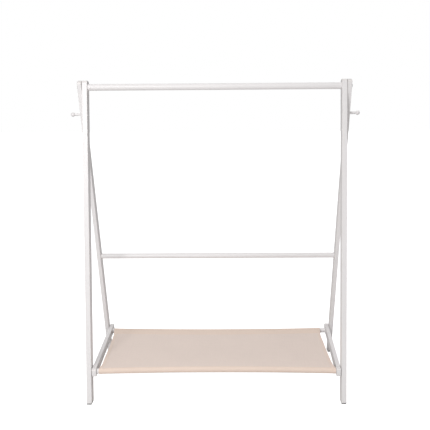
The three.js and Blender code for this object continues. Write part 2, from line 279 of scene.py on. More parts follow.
# Fine unevenness of moulded, cast or plated faces
def buildMottle():
    tree, given, out = shaderGroup("mottle", [
        ("Vector", "Vector", None), ("Size", "Float", 1.0),
    ], ["Tone", "Gloss", "Height"])
    wires = {0: given["Vector"], "Scale": given["Size"]}
    scaled = newNode(tree, "ShaderNodeVectorMath", wires, operation="SCALE").outputs[0]
    broad = noise(tree, scaled, 60, 3.0, 0.5)
    wire(tree, out, {
        "Tone": spread(tree, broad, 0.3, 0.7, 0.94, 1.05),
        "Gloss": spread(tree, broad, 0.3, 0.7, 0.0, 1.0),
        "Height": noise(tree, scaled, 900, 2.0, 0.6)})
    return tree


# Plain weave from the cloth's own UV, which is in metres
def buildPlainWeave():
    tree, given, out = shaderGroup("plainWeave", [
        ("UV", "Vector", None), ("Pitch", "Float", 0.0011),
    ], ["Tone", "Height"])
    parts = newNode(tree, "ShaderNodeSeparateXYZ", {0: given["UV"]}).outputs
    turnsPerThread = maths(tree, "DIVIDE", math.pi, given["Pitch"])
    across, along = (maths(tree, "SINE", times(tree, parts[i], turnsPerThread)) for i in (0, 1))
    over = spread(tree, times(tree, across, along), -0.25, 0.25, 0.0, 1.0)
    under = maths(tree, "SUBTRACT", 1.0, over)
    threads = plus(tree, times(tree, maths(tree, "ABSOLUTE", across), over),
                    times(tree, maths(tree, "ABSOLUTE", along), under))
    weftSlub = noise(tree, stretched(tree, given["UV"], (9, 520, 1)), 1.0, 3.0, 0.6)
    warpSlub = noise(tree, stretched(tree, given["UV"], (480, 10, 1)), 1.0, 3.0, 0.6)
    slub = times(tree, plus(tree, weftSlub, warpSlub), 0.5)
    broad = noise(tree, given["UV"], 7, 3.0, 0.5)
    tone = plus(tree, spread(tree, threads, 0.0, 1.0, 0.955, 1.015),
                 spread(tree, slub, 0.38, 0.62, -0.022, 0.022))
    tone = plus(tree, tone, spread(tree, broad, 0.3, 0.7, -0.012, 0.012))
    wire(tree, out, {"Tone": tone, "Height": plus(tree, threads, times(tree, slub, 0.6))})
    return tree


lacquerGrain = buildLacquerGrain()
mottle = buildMottle()
plainWeave = buildPlainWeave()


def newMaterial(name):
    material = bpy.data.materials.new(name)
    material.use_nodes = True
    tree = material.node_tree
    tree.nodes.clear()
    shader = newNode(tree, "ShaderNodeBsdfPrincipled")
    newNode(tree, "ShaderNodeOutputMaterial", {"Surface": shader.outputs[0]})
    return material, tree, shader


def placed(tree, group, wires):
    return newNode(tree, "ShaderNodeGroup", wires, node_tree=group).outputs


def bumped(tree, height, strength, distance):
    wires = {"Strength": strength, "Distance": distance, "Height": height}
    return newNode(tree, "ShaderNodeBump", wires).outputs[0]


def toned(tree, colour, tone):   # colour times a tone that varies round 1
    grey = newNode(tree, "ShaderNodeCombineColor", {0: tone, 1: tone, 2: tone})
    return blended(tree, 1.0, colour, grey.outputs[0], "MULTIPLY")


lacquer = {
    "white": (0.86, 0.832, 0.830, 1),
    "thinPaint": (0.70, 0.62, 0.54, 1),    # where the wood warms the paint on an edge
    "thinAmount": 0.35,
    "bump": 0.22,
    "bumpDepth": 0.12 * mm,
    "coat": 0.18,
    "coatRoughness": 0.3,
}


def lacqueredWood(name, turn, grain=1.0):   # turn brings the piece's length to Z
    material, tree, shader = newMaterial(name)
    place = newNode(tree, "ShaderNodeTexCoord").outputs["Object"]
    mapping = newNode(tree, "ShaderNodeMapping", {"Rotation": turn, "Vector": place})
    edge = newNode(tree, "ShaderNodeAttribute", attribute_name="edgeMask")
    grained = placed(tree, lacquerGrain, {
        "Grain": grain, "Vector": mapping.outputs[0], "Edge": edge.outputs["Fac"]})
    worn = times(tree, grained["Thin"], lacquer["thinAmount"])
    colour = blended(tree, worn, lacquer["white"], lacquer["thinPaint"])
    wire(tree, shader, {
        "Base Color": toned(tree, colour, grained["Tone"]), "Roughness": grained["Gloss"],
        "Coat Weight": lacquer["coat"], "Coat Roughness": lacquer["coatRoughness"],
        "Normal": bumped(tree, grained["Height"], lacquer["bump"], lacquer["bumpDepth"])})
    return material


def mottledMaterial(name, colour, size, roughness, metallic, bump, bumpDepth):
    material, tree, shader = newMaterial(name)
    place = newNode(tree, "ShaderNodeTexCoord").outputs["Object"]
    uneven = placed(tree, mottle, {"Size": size, "Vector": place})
    wire(tree, shader, {
        "Base Color": toned(tree, colour, uneven["Tone"]), "Metallic": metallic,
        "Roughness": spread(tree, uneven["Gloss"], 0.0, 1.0, *roughness),
        "Normal": bumped(tree, uneven["Height"], bump, bumpDepth)})
    return material


cloth = {
    "beige": (0.835, 0.71, 0.64, 1),
    "doubledPaintedLight": (0.86, 0.70, 0.60, 1),    # partly painted light: a warmer tint on doubled cloth that also stands in for the light a single layer lets through from below
    "pitch": 1.1 * mm,
    "roughness": 0.92,
    "sheen": 0.12,
    "sheenRoughness": 0.5,
    "bump": 0.45,
    "bumpDepth": 0.25 * mm,
}


def canvasMaterial():
    material, tree, shader = newMaterial("beigeCanvas")
    uv = newNode(tree, "ShaderNodeUVMap", uv_map="cloth").outputs[0]
    woven = placed(tree, plainWeave, {"Pitch": cloth["pitch"], "UV": uv})
    # warmer tint on doubled cloth and hems, partly painted light
    doubledPaintedLight = newNode(tree, "ShaderNodeAttribute", attribute_name="doubledPaintedLight").outputs["Fac"]
    colour = blended(tree, doubledPaintedLight, cloth["beige"], cloth["doubledPaintedLight"])
    wire(tree, shader, {
        "Base Color": toned(tree, colour, woven["Tone"]), "Roughness": cloth["roughness"],
        "Sheen Weight": cloth["sheen"], "Sheen Roughness": cloth["sheenRoughness"],
        "Normal": bumped(tree, woven["Height"], cloth["bump"], cloth["bumpDepth"])})
    return material


quarter = math.pi / 2
woodUpFront = lacqueredWood("lacqueredFrontLegs", (lean, 0, 0))
woodUpRear = lacqueredWood("lacqueredRearLegs", (-lean, 0, 0))
woodAcross = lacqueredWood("lacqueredRails", (0, -quarter, 0), 0.8)
woodDeepRight = lacqueredWood("lacqueredRightBar", (quarter, 0, splay))
woodDeepLeft = lacqueredWood("lacqueredLeftBar", (quarter, 0, -splay))
footPlastic = mottledMaterial("greyFootPlastic", (0.30, 0.295, 0.29, 1), 1.0, (0.5, 0.62), 0.0, 0.3, 0.1 * mm)
spacerNylon = mottledMaterial("whiteNylon", (0.74, 0.73, 0.70, 1), 1.5, (0.42, 0.55), 0.0, 0.15, 0.05 * mm)
zincSteel = mottledMaterial("zincSteel", (0.62, 0.63, 0.64, 1), 2.0, (0.24, 0.42), 1.0, 0.1, 0.03 * mm)
sewingThread = mottledMaterial("sewingThread", (0.80, 0.70, 0.61, 1), 3.0, (0.75, 0.9), 0.0, 0.4, 0.1 * mm)
beigeCanvas = canvasMaterial()
print("materials made")

# Legs and feet

leg = {
    "depth": 40 * mm,
    "headRise": 30 * mm,        # pivot to the leg's end
    "headRadius": 13 * mm,
    "edge": 1.6 * mm,
    "soleGap": 6.3 * mm,        # floor to the leg's sawn end
    "pivotHole": 8.8 * mm,
    "studHole": 6.6 * mm,
    "studDepth": 15 * mm,
    "railHole": 6.8 * mm,
    "pegHole": 8.6 * mm,
    "pegDepth": 12.3 * mm,
    "dowelHole": 8.6 * mm,
    "dowelDepth": 18.3 * mm,
}
foot = {"height": 6 * mm, "inset": 0.6 * mm, "edge": 1.1 * mm, "dowel": 8 * mm, "dowelLength": 18 * mm}


def levelCut(height, y, turn):   # a level saw cut, seen in the leg's own leaning axes
    return (height - pivot.z - y * math.sin(turn)) / math.cos(turn)


def alongLeg(point, turn):   # how far below the pivot it lies, along the leg
    return -(pivot.z - point.z) / math.cos(turn)


def legOutline(turn):
    half, rise, radius = leg["depth"] / 2, leg["headRise"], leg["headRadius"]
    outline = [(-half, levelCut(leg["soleGap"], -half, turn)), (half, levelCut(leg["soleGap"], half, turn))]
    outline += arc(half - radius, rise - radius, radius, 0, 90, 10)
    outline += arc(-half + radius, rise - radius, radius, 90, 180, 10)
    return outline


def crossHole(diameter, fromX, toX, z, place):   # a drill running along X
    low, high = min(fromX, toX), max(fromX, toX)
    drill = [(low, 0), (low, diameter / 2), (high, diameter / 2), (high, 0)]
    return turned("drill", drill, 32, place @ Matrix.Translation((0, 0, z)))


def upright(diameter, bottom, top, x, place):   # a dowel or its hole, running along the leg
    lift = place @ Matrix.Translation((x, 0, 0)) @ Matrix.Rotation(-quarter, 4, "Y")
    return turned("dowel", [(bottom, 0), (bottom, diameter / 2), (top, diameter / 2), (top, 0)], 24, lift)


def makeLeg(kind, sideName, turn, place, material, body):
    node = f"{kind}_leg_{sideName}"
    side = handed[sideName]
    low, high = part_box(node)
    inner, outer = sorted((low.x, high.x), key=abs)
    blank = prism(f"{kind}Leg{sideName.title()}", legOutline(turn), low.x, high.x, place)
    easeEdges(blank, leg["edge"])
    stud = middleOf(f"{kind}_stud_{sideName}")
    past = side * 4 * mm
    holes = [
        crossHole(leg["pivotHole"], inner - past, outer + past, 0, place),
        crossHole(leg["studHole"], inner - past, inner + side * leg["studDepth"],
                  alongLeg(stud, turn), place),
        upright(leg["dowelHole"], levelCut(0, 0, turn), levelCut(foot["height"], 0, turn) + leg["dowelDepth"],
                (low.x + high.x) / 2, place),
    ]
    if kind == "rear":
        bolt, peg = middleOf(f"lower_rail_bolt_{sideName}"), middleOf(f"peg_{sideName}")
        holes.append(crossHole(leg["railHole"], inner - past, outer + past, alongLeg(bolt, turn), place))
        holes.append(crossHole(leg["pegHole"], outer - side * leg["pegDepth"], outer + past,
                               alongLeg(peg, turn), place))
    drilled(blank, holes)
    markEdges(blank, place)
    return finished(smoothed(blank), material, body, "white_wood", node)


def makeFoot(kind, sideName, turn, place, body):
    node = f"{kind}_foot_{sideName}"
    low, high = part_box(node)
    half = leg["depth"] / 2 - foot["inset"]
    outline = [(y, levelCut(h, y, turn)) for y, h in
               ((-half, 0), (half, 0), (half, foot["height"]), (-half, foot["height"]))]
    pad = prism(f"{kind}Foot{sideName.title()}", outline, low.x, high.x, place)
    easeEdges(pad, foot["edge"])
    top = levelCut(foot["height"], 0, turn)
    dowel = upright(foot["dowel"], top - 2 * mm, top + foot["dowelLength"], (low.x + high.x) / 2, place)
    combine(pad, [dowel], "UNION")
    return finished(smoothed(pad), footPlastic, body, "foot_plastic", node)


for sideName in handed:
    makeLeg("front", sideName, -lean, frontTurn, woodUpFront, "front_frame")
    makeLeg("rear", sideName, lean, rearTurn, woodUpRear, "rear_frame")
    makeFoot("front", sideName, -lean, frontTurn, "front_frame")
    makeFoot("rear", sideName, lean, rearTurn, "rear_frame")
print("legs and feet made")

# Rails

rails = {
    "top_rail": {"name": "topRail", "body": "front_frame", "diameter": 30 * mm, "seat": 13.6 * mm,
                 "seatDepth": 24.6 * mm},
    "lower_rail": {"name": "lowerRail", "body": "rear_frame", "diameter": 28 * mm, "seat": 10.6 * mm,
                   "seatDepth": 20.6 * mm},
}
railFacets = 64
railEase = 1.2 * mm


def makeRail(node, rail):
    low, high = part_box(node)
    middle = (low + high) / 2
    radius, seat, half = rail["diameter"] / 2, rail["seat"] / 2, high.x
    side = [(half - rail["seatDepth"], 0), (half - rail["seatDepth"], seat), (half, seat)]
    side += [(half - railEase + a, radius - railEase + b) for a, b in arc(0, 0, railEase, 0, 90, 4)]
    lengths = [half * 0.9 * i / 12 for i in range(12, 0, -1)]
    side += [(x, radius) for x in lengths]
    profile = [(-x, r) for x, r in side] + side[::-1]
    rod = turned(rail["name"], profile, railFacets, Matrix.Translation((0, middle.y, middle.z)))
    return finished(smoothed(rod, 50), woodAcross, rail["body"], "white_wood", node)


for node, rail in rails.items():
    makeRail(node, rail)
    for sideName in handed:   # the sleeves in the rail's ends keep their own shape
        sleeve = frame["nodes"][f"{node}_insert_{sideName}"]
        sleeve.material_slots[0].material = zincSteel
print("rails made")

# Bolts, washers, spacers, studs and pegs

bolts = {
    "pivot_bolt": {"name": "pivotBolt", "body": "front_frame", "head": 17 * mm, "headHeight": 2.6 * mm,
                   "shank": 8 * mm},
    "lower_rail_bolt": {"name": "lowerRailBolt", "body": "rear_frame", "head": 14 * mm,
                        "headHeight": 2.2 * mm, "shank": 6 * mm},
}
hexSocket = {"acrossCorners": 5 * mm, "depth": 1.6 * mm}
rings = {
    "pivot_bolt_washer": {"name": "pivotWasher", "outer": 21 * mm, "bore": 8.8 * mm, "ease": 0.2 * mm,
                          "material": zincSteel, "slot": "zinc_steel"},
    "pivot_spacer": {"name": "pivotSpacer", "outer": 26 * mm, "bore": 8.8 * mm, "ease": 0.25 * mm,
                     "material": spacerNylon, "slot": "spacer_nylon"},
}
stud = {"pin": 10 * mm, "tipChamfer": 1 * mm, "flange": 16 * mm, "flangeHeight": 1.2 * mm, "gap": 0.3 * mm,
        "shank": 6 * mm}
peg = {"ball": 20 * mm, "stem": 12 * mm, "collar": 14 * mm, "neck": 9.4 * mm, "spigot": 8 * mm,
       "gap": 0.3 * mm}


def outward(node, side):   # the node's span along X as distances from the middle plane
    low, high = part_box(node)
    near, far = sorted((low.x * side, high.x * side))
    middle = (low + high) / 2
    return near, far, Matrix.Translation((0, middle.y, middle.z)) @ Matrix.Diagonal((side, 1, 1, 1))


def makeBolt(node, bolt, sideName):
    side = handed[sideName]
    near, far, place = outward(f"{node}_{sideName}", side)
    head, shank, seat = bolt["head"] / 2, bolt["shank"] / 2, far - bolt["headHeight"]
    profile = [(near, 0), (near, shank - 0.8 * mm), (near + 0.8 * mm, shank), (seat, shank),
               (seat, head - 0.3 * mm), (seat + 0.3 * mm, head)]
    profile += [(far - 0.8 * mm + a, head - 1.2 * mm + b * 1.5) for a, b in arc(0, 0, 0.8 * mm, 90, 0, 5)]
    profile += [(far, 0)]
    piece = turned(f"{bolt['name']}{sideName.title()}", profile, 48, place)
    reach = hexSocket["acrossCorners"] / 2
    corners = arc(0, 0, reach, 0, 300, 5)
    key = prism("hexKey", corners, far - hexSocket["depth"], far + 2 * mm, place)
    drilled(piece, [key])
    return finished(smoothed(piece), zincSteel, bolt["body"], "zinc_steel", f"{node}_{sideName}")


def makeRing(node, ring, sideName):
    near, far, place = outward(f"{node}_{sideName}", handed[sideName])
    bore, outer, ease = ring["bore"] / 2, ring["outer"] / 2, ring["ease"]
    profile = [(near, bore), (near, outer - ease), (near + ease, outer), (far - ease, outer),
               (far, outer - ease), (far, bore)]
    piece = turned(f"{ring['name']}{sideName.title()}", profile, 48, place, ring=True)
    return finished(smoothed(piece), ring["material"], "front_frame", ring["slot"], f"{node}_{sideName}")


def makeStud(kind, sideName):
    node = f"{kind}_stud_{sideName}"
    near, far, place = outward(node, handed[sideName])
    pin, flange, shank, chamfer = stud["pin"] / 2, stud["flange"] / 2, stud["shank"] / 2, stud["tipChamfer"]
    seat = abs(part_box(f"{kind}_leg_right")[0].x) - stud["gap"]
    top = seat - stud["flangeHeight"]
    profile = [(near, 0)] + arc(near + chamfer, pin - chamfer, chamfer, 180, 90, 4)
    profile += [(top, pin), (top, flange - 0.4 * mm), (top + 0.4 * mm, flange), (seat, flange), (seat, shank),
                (far - 0.6 * mm, shank), (far, shank - 0.6 * mm), (far, 0)]
    body = f"{kind}_frame"
    piece = turned(f"{kind}Stud{sideName.title()}", profile, 40, place)
    return finished(smoothed(piece), zincSteel, body, "zinc_steel", node)


def makePeg(sideName):
    node = f"peg_{sideName}"
    near, far, place = outward(node, handed[sideName])
    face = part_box("rear_leg_right")[1].x
    ball, stem, spigot, collar, neck = (peg[k] / 2 for k in ("ball", "stem", "spigot", "collar", "neck"))
    centre = far - ball
    neckAngle = math.degrees(math.asin(neck / ball))
    profile = [(near, 0), (near, spigot - 0.6 * mm), (near + 0.6 * mm, spigot), (face + peg["gap"], spigot)]
    profile += [(face + peg["gap"], collar - 0.5 * mm), (face + peg["gap"] + 0.5 * mm, collar),
                (face + 2 * mm, collar)]
    profile += [(face + 3.2 * mm, stem + 0.3 * mm), (face + 5 * mm, stem)]
    ballStart = centre - ball * math.cos(math.radians(neckAngle))
    profile += [(ballStart - 3.2 * mm, stem), (ballStart - 1.6 * mm, stem - 0.4 * mm), (ballStart, neck)]
    profile += arc(centre, 0, ball, 180 - neckAngle - 4, 0, 28)[:-1] + [(far, 0)]
    piece = turned(f"peg{sideName.title()}", profile, 56, place)
    return finished(smoothed(piece, 40), woodAcross, "rear_frame", "white_wood", node)


for sideName in handed:
    for node, bolt in bolts.items():
        makeBolt(node, bolt, sideName)
    for node, ring in rings.items():
        makeRing(node, ring, sideName)
    makeStud("front", sideName)
    makeStud("rear", sideName)
    makePeg(sideName)
print("fittings and pegs made")

# Shelf: side bars and bowed rods

bar = {
    "height": 40 * mm,
    "thickness": 20 * mm,
    "endRadius": 10 * mm,
    "overhang": 22 * mm,        # past the stud at each end
    "gap": 2.4 * mm,            # to the leg beside it
    # the notch cutters' two ends along X, clear of the bar on both sides
    "frontReach": (0.54, 0.64),
    "rearReach": (0.54, 0.66),
    "edge": 1.6 * mm,
    "frontNotch": 13 * mm,
    "rearNotch": 4.3 * mm,
    "studPlay": 0.3 * mm,
    "rampRelief": math.radians(1.3),
}
rodScrew = {"shank": 4 * mm, "head": 8.4 * mm, "headHeight": 3 * mm, "length": 42 * mm, "sink": 1 * mm,
            "recess": 4.6 * mm, "play": 0.3 * mm}
shelfRod = {"diameter": 25 * mm, "bow": 15 * mm, "endGap": 0.3 * mm, "around": 48, "along": 72}

barOuter = frontInner - bar["gap"]
underside = barMiddle - bar["height"] / 2
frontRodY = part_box("front_rod_screw_right")[0].y / 2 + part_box("front_rod_screw_right")[1].y / 2
rearRodY = middleOf("rear_rod_screw_right").y


def outerFace(y):
    return barOuter + (y - frontStud.y) * math.tan(splay)


def innerFace(y):
    return outerFace(y) - bar["thickness"] / math.cos(splay)


def barOutline():
    half, radius = bar["height"] / 2, bar["endRadius"]
    front = -bar["overhang"]
    back = (rearStud.y - frontStud.y) / math.cos(splay) + bar["overhang"]
    outline = arc(back - radius, -half + radius, radius, -90, 0, 8)
    outline += arc(back - radius, half - radius, radius, 0, 90, 8)
    outline += arc(front + radius, half - radius, radius, 90, 180, 8)
    return outline + arc(front + radius, -half + radius, radius, 180, 270, 8)


def frontNotch(side):
    half = stud["pin"] / 2 + bar["studPlay"]
    outline = [(frontStud.y - half, underside - 2 * mm), (frontStud.y + half, underside - 2 * mm)]
    outline += arc(frontStud.y, frontStud.z, half, 0, 180, 10)
    return prism("frontNotch", outline, *sorted(side * x for x in bar["frontReach"]))


def rearNotch(side):
    wall = stud["pin"] / 2 + bar["studPlay"]
    roof, below = underside + bar["rearNotch"], underside - 2 * mm
    rampTop = rearStud.y - 2 * mm
    run = (roof - below) / math.tan(lean - bar["rampRelief"])
    outline = [(rampTop - run, below), (rearStud.y + wall, below), (rearStud.y + wall, roof), (rampTop, roof)]
    return prism("rearNotch", outline, *sorted(side * x for x in bar["rearReach"]))


def screwHole(side, y):
    shank, head = rodScrew["shank"] / 2 + rodScrew["play"], rodScrew["head"] / 2 + rodScrew["play"]
    seat = outerFace(y) - rodScrew["sink"]
    tip, neck = seat - rodScrew["length"] - rodScrew["play"], seat - rodScrew["headHeight"] - rodScrew["play"]
    place = Matrix.Translation((0, y, barMiddle)) @ Matrix.Diagonal((side, 1, 1, 1))
    return turned("screwHole", [(tip, 0), (tip, shank), (neck, shank), (seat, head), (seat + 5 * mm, head),
                                (seat + 5 * mm, 0)], 32, place)


def makeBar(sideName, material):
    side = handed[sideName]
    turn = Matrix.Translation((side * barOuter, frontStud.y, barMiddle))
    turn = turn @ Matrix.Rotation(-side * splay, 4, "Z")
    piece = prism(f"sideBar{sideName.title()}", barOutline(), *sorted((0, -side * bar["thickness"])), turn)
    easeEdges(piece, bar["edge"])
    cuts = [frontNotch(side), rearNotch(side), screwHole(side, frontRodY), screwHole(side, rearRodY)]
    drilled(piece, cuts)
    markEdges(piece, turn)
    return finished(smoothed(piece), material, "shelf", "white_wood", f"side_bar_{sideName}")


def rodLine(endY, bow, x):   # the rod's middle line, pulled in by the cloth
    return endY + bow * (1 - (x / innerFace(endY)) ** 2)


def rodsAt(x):
    return rodLine(frontRodY, shelfRod["bow"], x), rodLine(rearRodY, -shelfRod["bow"], x)


def makeRod(kind, endY, bow):
    shape = bmesh.new()
    radius, across = shelfRod["diameter"] / 2, shelfRod["around"]
    rows = []
    for i in range(shelfRod["along"] + 1):
        t = 2 * i / shelfRod["along"] - 1
        row = []
        for k in range(across):
            angle = 2 * math.pi * k / across
            y = endY + bow * (1 - t * t) + radius * math.cos(angle)
            x = t * (innerFace(y) - shelfRod["endGap"])
            row.append(shape.verts.new((x, y, barMiddle + radius * math.sin(angle))))
        rows.append(row)
    for near, far in zip(rows, rows[1:]):
        for k in range(across):
            j = (k + 1) % across
            shape.faces.new((near[k], near[j], far[j], far[k]))
    shape.faces.new(rows[0])
    shape.faces.new(rows[-1])
    piece = fromShape(f"shelfRod{kind.title()}", shape)
    drilled(piece, [screwHole(-1, endY), screwHole(1, endY)])
    return finished(smoothed(piece, 50), woodAcross, "shelf", "white_wood", f"shelf_rod_{kind}")


makeBar("left", woodDeepLeft)
makeBar("right", woodDeepRight)
frontRod = makeRod("front", frontRodY, shelfRod["bow"])
rearRod = makeRod("rear", rearRodY, -shelfRod["bow"])
print("side bars and shelf rods made")

# Countersunk screws, by Geometry Nodes


def nodesTree(name, inputs):
    tree = bpy.data.node_groups.new(name, "GeometryNodeTree")
    sockets = {}
    for label, kind, value in [("Geometry", "Geometry", None), *inputs, ("Material", "Material", None)]:
        socket = tree.interface.new_socket(label, in_out="INPUT", socket_type=f"NodeSocket{kind}")
        if value is not None:
            socket.default_value = value
        sockets[label] = socket.identifier
    tree.interface.new_socket("Geometry", in_out="OUTPUT", socket_type="NodeSocketGeometry")
    return tree, tree.nodes.new("NodeGroupInput").outputs, sockets


def madeReal(tree, given, instances):   # the end of each tree
    real = newNode(tree, "GeometryNodeRealizeInstances", {0: instances.outputs[0]})
    wires = {"Geometry": real.outputs[0], "Material": given["Material"]}
    clad = newNode(tree, "GeometryNodeSetMaterial", wires)
    newNode(tree, "NodeGroupOutput", {0: clad.outputs[0]})


def vectorOf(tree, *parts):
    return newNode(tree, "ShaderNodeCombineXYZ", dict(enumerate(parts))).outputs[0]


def moved(tree, geometry, **wires):
    wires = {label.title(): value for label, value in wires.items()}
    return newNode(tree, "GeometryNodeTransform", {"Geometry": geometry, **wires}).outputs[0]


def throughNodes(base, tree, sockets, values):
    modifier = base.modifiers.new(tree.name, "NODES")
    modifier.node_group = tree
    for label, value in values.items():
        modifier[sockets[label]] = value
    return baked(base)


def screwTree():
    tree, given, sockets = nodesTree("countersunkScrews", [
        ("Shank", "Float", 0.004), ("Head", "Float", 0.0084), ("Head Height", "Float", 0.003),
        ("Length", "Float", 0.042), ("Recess", "Float", 0.0045), ("Seed", "Int", 3)])
    height, recess = given["Head Height"], given["Recess"]
    headRadius, shankRadius = (times(tree, given[label], 0.5) for label in ("Head", "Shank"))
    head = newNode(tree, "GeometryNodeMeshCone", {
        "Vertices": 36, "Radius Top": headRadius, "Radius Bottom": shankRadius, "Depth": height})
    sunk = moved(tree, head.outputs[0], translation=vectorOf(tree, 0, 0, times(tree, height, -1)))
    shank = newNode(tree, "GeometryNodeMeshCylinder", {
        "Vertices": 36, "Radius": shankRadius, "Depth": maths(tree, "SUBTRACT", given["Length"], height)})
    shankMiddle = times(tree, plus(tree, given["Length"], height), -0.5)
    stem = moved(tree, shank.outputs[0], translation=vectorOf(tree, 0, 0, shankMiddle))
    width = times(tree, recess, 0.22)
    blades = [newNode(tree, "GeometryNodeMeshCube", {"Size": vectorOf(tree, *sides, height)}).outputs[0]
              for sides in ((recess, width), (width, recess))]
    cross = newNode(tree, "GeometryNodeMeshBoolean", {0: sunk, 1: blades}, operation="DIFFERENCE",
                    solver="EXACT")
    whole = newNode(tree, "GeometryNodeJoinGeometry", {0: [cross.outputs[0], stem]})
    lying = moved(tree, whole.outputs[0], rotation=(0, quarter, 0))   # head towards +X
    place = newNode(tree, "GeometryNodeInputPosition")
    parts = newNode(tree, "ShaderNodeSeparateXYZ", {0: place.outputs[0]})
    onLeft = times(tree, maths(tree, "LESS_THAN", parts.outputs[0], 0.0), math.pi)
    spin = newNode(tree, "FunctionNodeRandomValue", {"Seed": given["Seed"]}, data_type="FLOAT")
    spinOut = next(s for s in spin.outputs if s.type == "VALUE" and s.enabled)
    turn = vectorOf(tree, times(tree, spinOut, math.pi), 0, onLeft)
    madeReal(tree, given, newNode(tree, "GeometryNodeInstanceOnPoints", {
        "Points": given["Geometry"], "Instance": lying, "Rotation": turn}))
    return tree, sockets


def makeScrews():
    seats = [(side * (outerFace(y) - rodScrew["sink"]), y, barMiddle) for side in handed.values()
             for y in (frontRodY, rearRodY)]
    mesh = bpy.data.meshes.new("rodScrews")
    mesh.from_pydata(seats, [], [])
    piece = linked("rodScrews", mesh)
    tree, sockets = screwTree()
    throughNodes(piece, tree, sockets, {
        "Shank": rodScrew["shank"], "Head": rodScrew["head"], "Head Height": rodScrew["headHeight"],
        "Length": rodScrew["length"], "Recess": rodScrew["recess"], "Seed": 3, "Material": zincSteel})
    piece.data.set_sharp_from_angle(angle=math.radians(32))
    names = [f"{end}_rod_screw_{sideName}" for end in ("front", "rear") for sideName in handed]
    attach(piece, "shelf")
    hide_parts(*names)
    return piece


makeScrews()
print("screws made")

# Canvas shelf

canvas = {
    "thickness": 1.2 * mm,
    "hemThickness": 2.0 * mm,
    "loopRadius": 13.6 * mm,       # middle of the cloth round a rod
    "seamSetback": 63 * mm,        # rod to the line of stitching that closes its tunnel
    "allowance": 7 * mm,
    "layerGap": 1.35 * mm,
    "meanBow": 1.33,               # how many times a rod's bow comes off the length between the rods
    "seamSpan": 430 * mm,          # the length that the seams' share of it is taken from
    "hemWidth": 16 * mm,
    "turnedIn": 8 * mm,            # the raw edge inside each fold
    "sag": 4.5 * mm,
    # how the cloth's sides run from the front rod (0) to the rear rod (1): towards +X of the frame's cloth
    "leftSide": [(0, 6 * mm), (0.07, 11 * mm), (0.27, 6.5 * mm), (0.48, 3 * mm), (0.7, -2 * mm),
                 (0.82, -5 * mm), (0.91, -12 * mm), (1, -18 * mm)],
    "rightSide": [(0, 2.5 * mm), (0.05, -4 * mm), (0.16, -7.5 * mm), (0.37, -9.5 * mm), (0.57, -10 * mm),
                  (0.78, -12 * mm), (0.88, -9 * mm), (1, -3 * mm)],
    "seamDimple": 0.45 * mm,
    "dimpleWidth": 1.8 * mm,
    "pucker": 0.16 * mm,
    "puckerWidth": 6 * mm,
    "columns": 210,
    "seed": 11,
}
clothLow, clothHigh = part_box("shelf_canvas")
clothSpan = rearRodY - frontRodY - canvas["meanBow"] * shelfRod["bow"]   # rod to rod
dice = random.Random(canvas["seed"])


def pullsAlong(count, strong):   # short creases that fan out from a tunnel seam
    return [(dice.uniform(-0.54, 0.54), dice.uniform(6, 16) * mm, dice.uniform(30, 110) * mm,
             dice.uniform(-1, 1) * strong) for _ in range(count)]


frontPulls = pullsAlong(26, 0.55 * mm)
rearPulls = pullsAlong(26, 0.6 * mm)
softFolds = [   # (x, width, height, how far forward of the rear seam)
    (0.452, 0.016, 1.1 * mm, 0.26), (0.487, 0.012, -0.8 * mm, 0.22), (0.425, 0.012, 0.6 * mm, 0.18),
    (-0.498, 0.014, 0.7 * mm, 0.2), (0.13, 0.03, 0.5 * mm, 0.15)]


def bump1d(distance, width):
    return math.exp(-(distance / width) ** 2)


def sheetHeight(x, fromFront, fromRear, share):
    middle = 1 - 0.35 * (x / clothHigh.x) ** 2
    drop = canvas["sag"] * math.sin(math.pi * share) ** 2 * middle
    pastSeams = [away - canvas["seamSetback"] for away in (fromFront, fromRear)]
    drop += canvas["seamDimple"] * sum(bump1d(past, canvas["dimpleWidth"]) for past in pastSeams)
    lift = 0
    for pulls, away in ((frontPulls, fromFront), (rearPulls, fromRear)):
        past = max(0, away - canvas["seamSetback"] * 0.8)
        ramp = min(1, away / (0.6 * canvas["seamSetback"]))
        for place, width, length, height in pulls:
            if abs(x - place) < 3 * width:
                lift += height * bump1d(x - place, width) * math.exp(-past / length) * ramp
    for place, width, height, reach in softFolds:
        run = min(1, fromRear / 0.06) * max(0, 1 - fromRear / reach)
        lift += height * bump1d(x - place + 0.06 * fromRear, width) * run
    pucker = canvas["pucker"] * math.sin(x / (4.1 * mm)) * math.sin(x / (13.7 * mm) + 1.3)
    lift += pucker * sum(bump1d(past, canvas["puckerWidth"]) for past in pastSeams)
    return canvas["loopRadius"] - drop + lift


def layerGap(hem):   # between the middles of the two layers, wider where hems lie on each other
    return canvas["layerGap"] + (canvas["hemThickness"] - canvas["thickness"] if hem else 0)


def loopRows():   # a tunnel from inside edge to rod top: (inwards, up, share of the sheet's lift it follows)
    radius, back = canvas["loopRadius"], canvas["seamSetback"]
    seamHeight = radius - canvas["layerGap"]
    rows = [(back + canvas["allowance"] * (1 - i / 4), seamHeight, 1) for i in range(4)]
    bearing = math.atan2(seamHeight, back)
    tangent = bearing - math.acos(radius / math.hypot(back, seamHeight))
    foot = (radius * math.cos(tangent), radius * math.sin(tangent))
    for i in range(15):
        share = (i / 15) ** 1.25
        belly = 1.2 * mm * math.sin(math.pi * share)
        y, z = back + (foot[0] - back) * share, seamHeight + (foot[1] - seamHeight) * share - belly
        rows.append((y, z, 1 - share))
    end = -1.5 * math.pi
    for i in range(36):
        angle = tangent + (end - tangent) * i / 36
        rows.append((radius * math.cos(angle), radius * math.sin(angle), 0))
    return rows


def sheetRows():   # distances from the front rod or the rear rod, or shares of the run between the seams
    back = canvas["seamSetback"]
    offsets = [0, 4, 9, 15, 22, 30, 38, 45, 51, 55.5, 58.5, 60.2, 61.4, 62.2, 63]
    near = [back * o / 63 for o in offsets]
    past = [back + o * mm for o in (0.8, 1.6, 2.8, 5, 9)]
    rows = [("front", d) for d in near + past]
    rows += [("between", i / 44) for i in range(1, 44)]
    rows += [("rear", d) for d in reversed(near + past)]
    return rows


